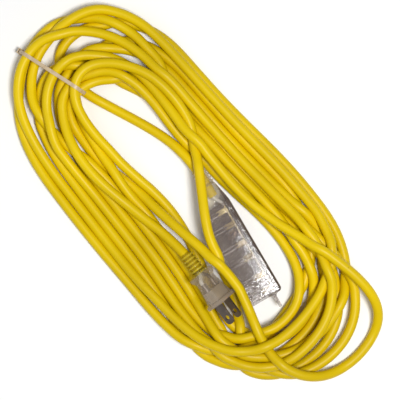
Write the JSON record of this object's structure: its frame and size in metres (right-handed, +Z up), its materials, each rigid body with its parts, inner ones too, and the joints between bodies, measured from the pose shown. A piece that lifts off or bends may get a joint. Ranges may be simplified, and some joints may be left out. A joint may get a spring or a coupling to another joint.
{
  "type": "power cord set",
  "caption": "Yellow outdoor power cord wound in a tied oval hank, with a clear two-blade plug and a clear in-line outlet block",
  "frame": {"origin": "middle of the whole part's box, on the surface it lies on", "axes": "+X along the hank from its tied end, +Z up from the surface, +Y across the hank towards the back of the outlet block"},
  "size_m": [0.372, 0.164, 0.035],
  "materials": {
    "cord_jacket": "glossy yellow PVC jacket, faint extrusion ripple",
    "tie_nylon": "natural nylon, finely toothed",
    "clear_moulding": "clear soft PVC with a brown-grey cast, smooth",
    "insert_plastic": "hard translucent insert",
    "blade_metal": "dull plated brass, scuffed near the tips",
    "white_insulation": "white PVC insulation",
    "black_insulation": "black PVC insulation",
    "carrier_plastic": "hard clear plastic",
    "contact_brass": "bright stamped brass",
    "lamp_glass": "small clear glow lamp",
    "resistor_coat": "plain tan coating",
    "tinned_wire": "tinned copper wire"
  },
  "bodies": {
    "root": {"cord_hank": "cord_jacket", "cord_plug_lead": "cord_jacket", "cord_block_lead": "cord_jacket", "cord_crossing": "cord_jacket", "cord_stray_strand": "cord_jacket", "tie_strap": "tie_nylon", "tie_head": "tie_nylon", "plug_body": "clear_moulding", "plug_bridge": "insert_plastic", "plug_neutral_blade": "blade_metal", "plug_hot_blade": "blade_metal", "plug_neutral_wire": "white_insulation", "plug_hot_wire": "black_insulation", "block_body": "clear_moulding", "outlet_carrier": "carrier_plastic", "carrier_cover": "carrier_plastic", "neutral_strip": "contact_brass", "hot_strip": "contact_brass", "block_neutral_wire": "white_insulation", "block_hot_wire": "black_insulation", "indicator_lamp": "lamp_glass", "lamp_resistor": "resistor_coat", "lamp_leads": "tinned_wire"}
  },
  "joints": []
}
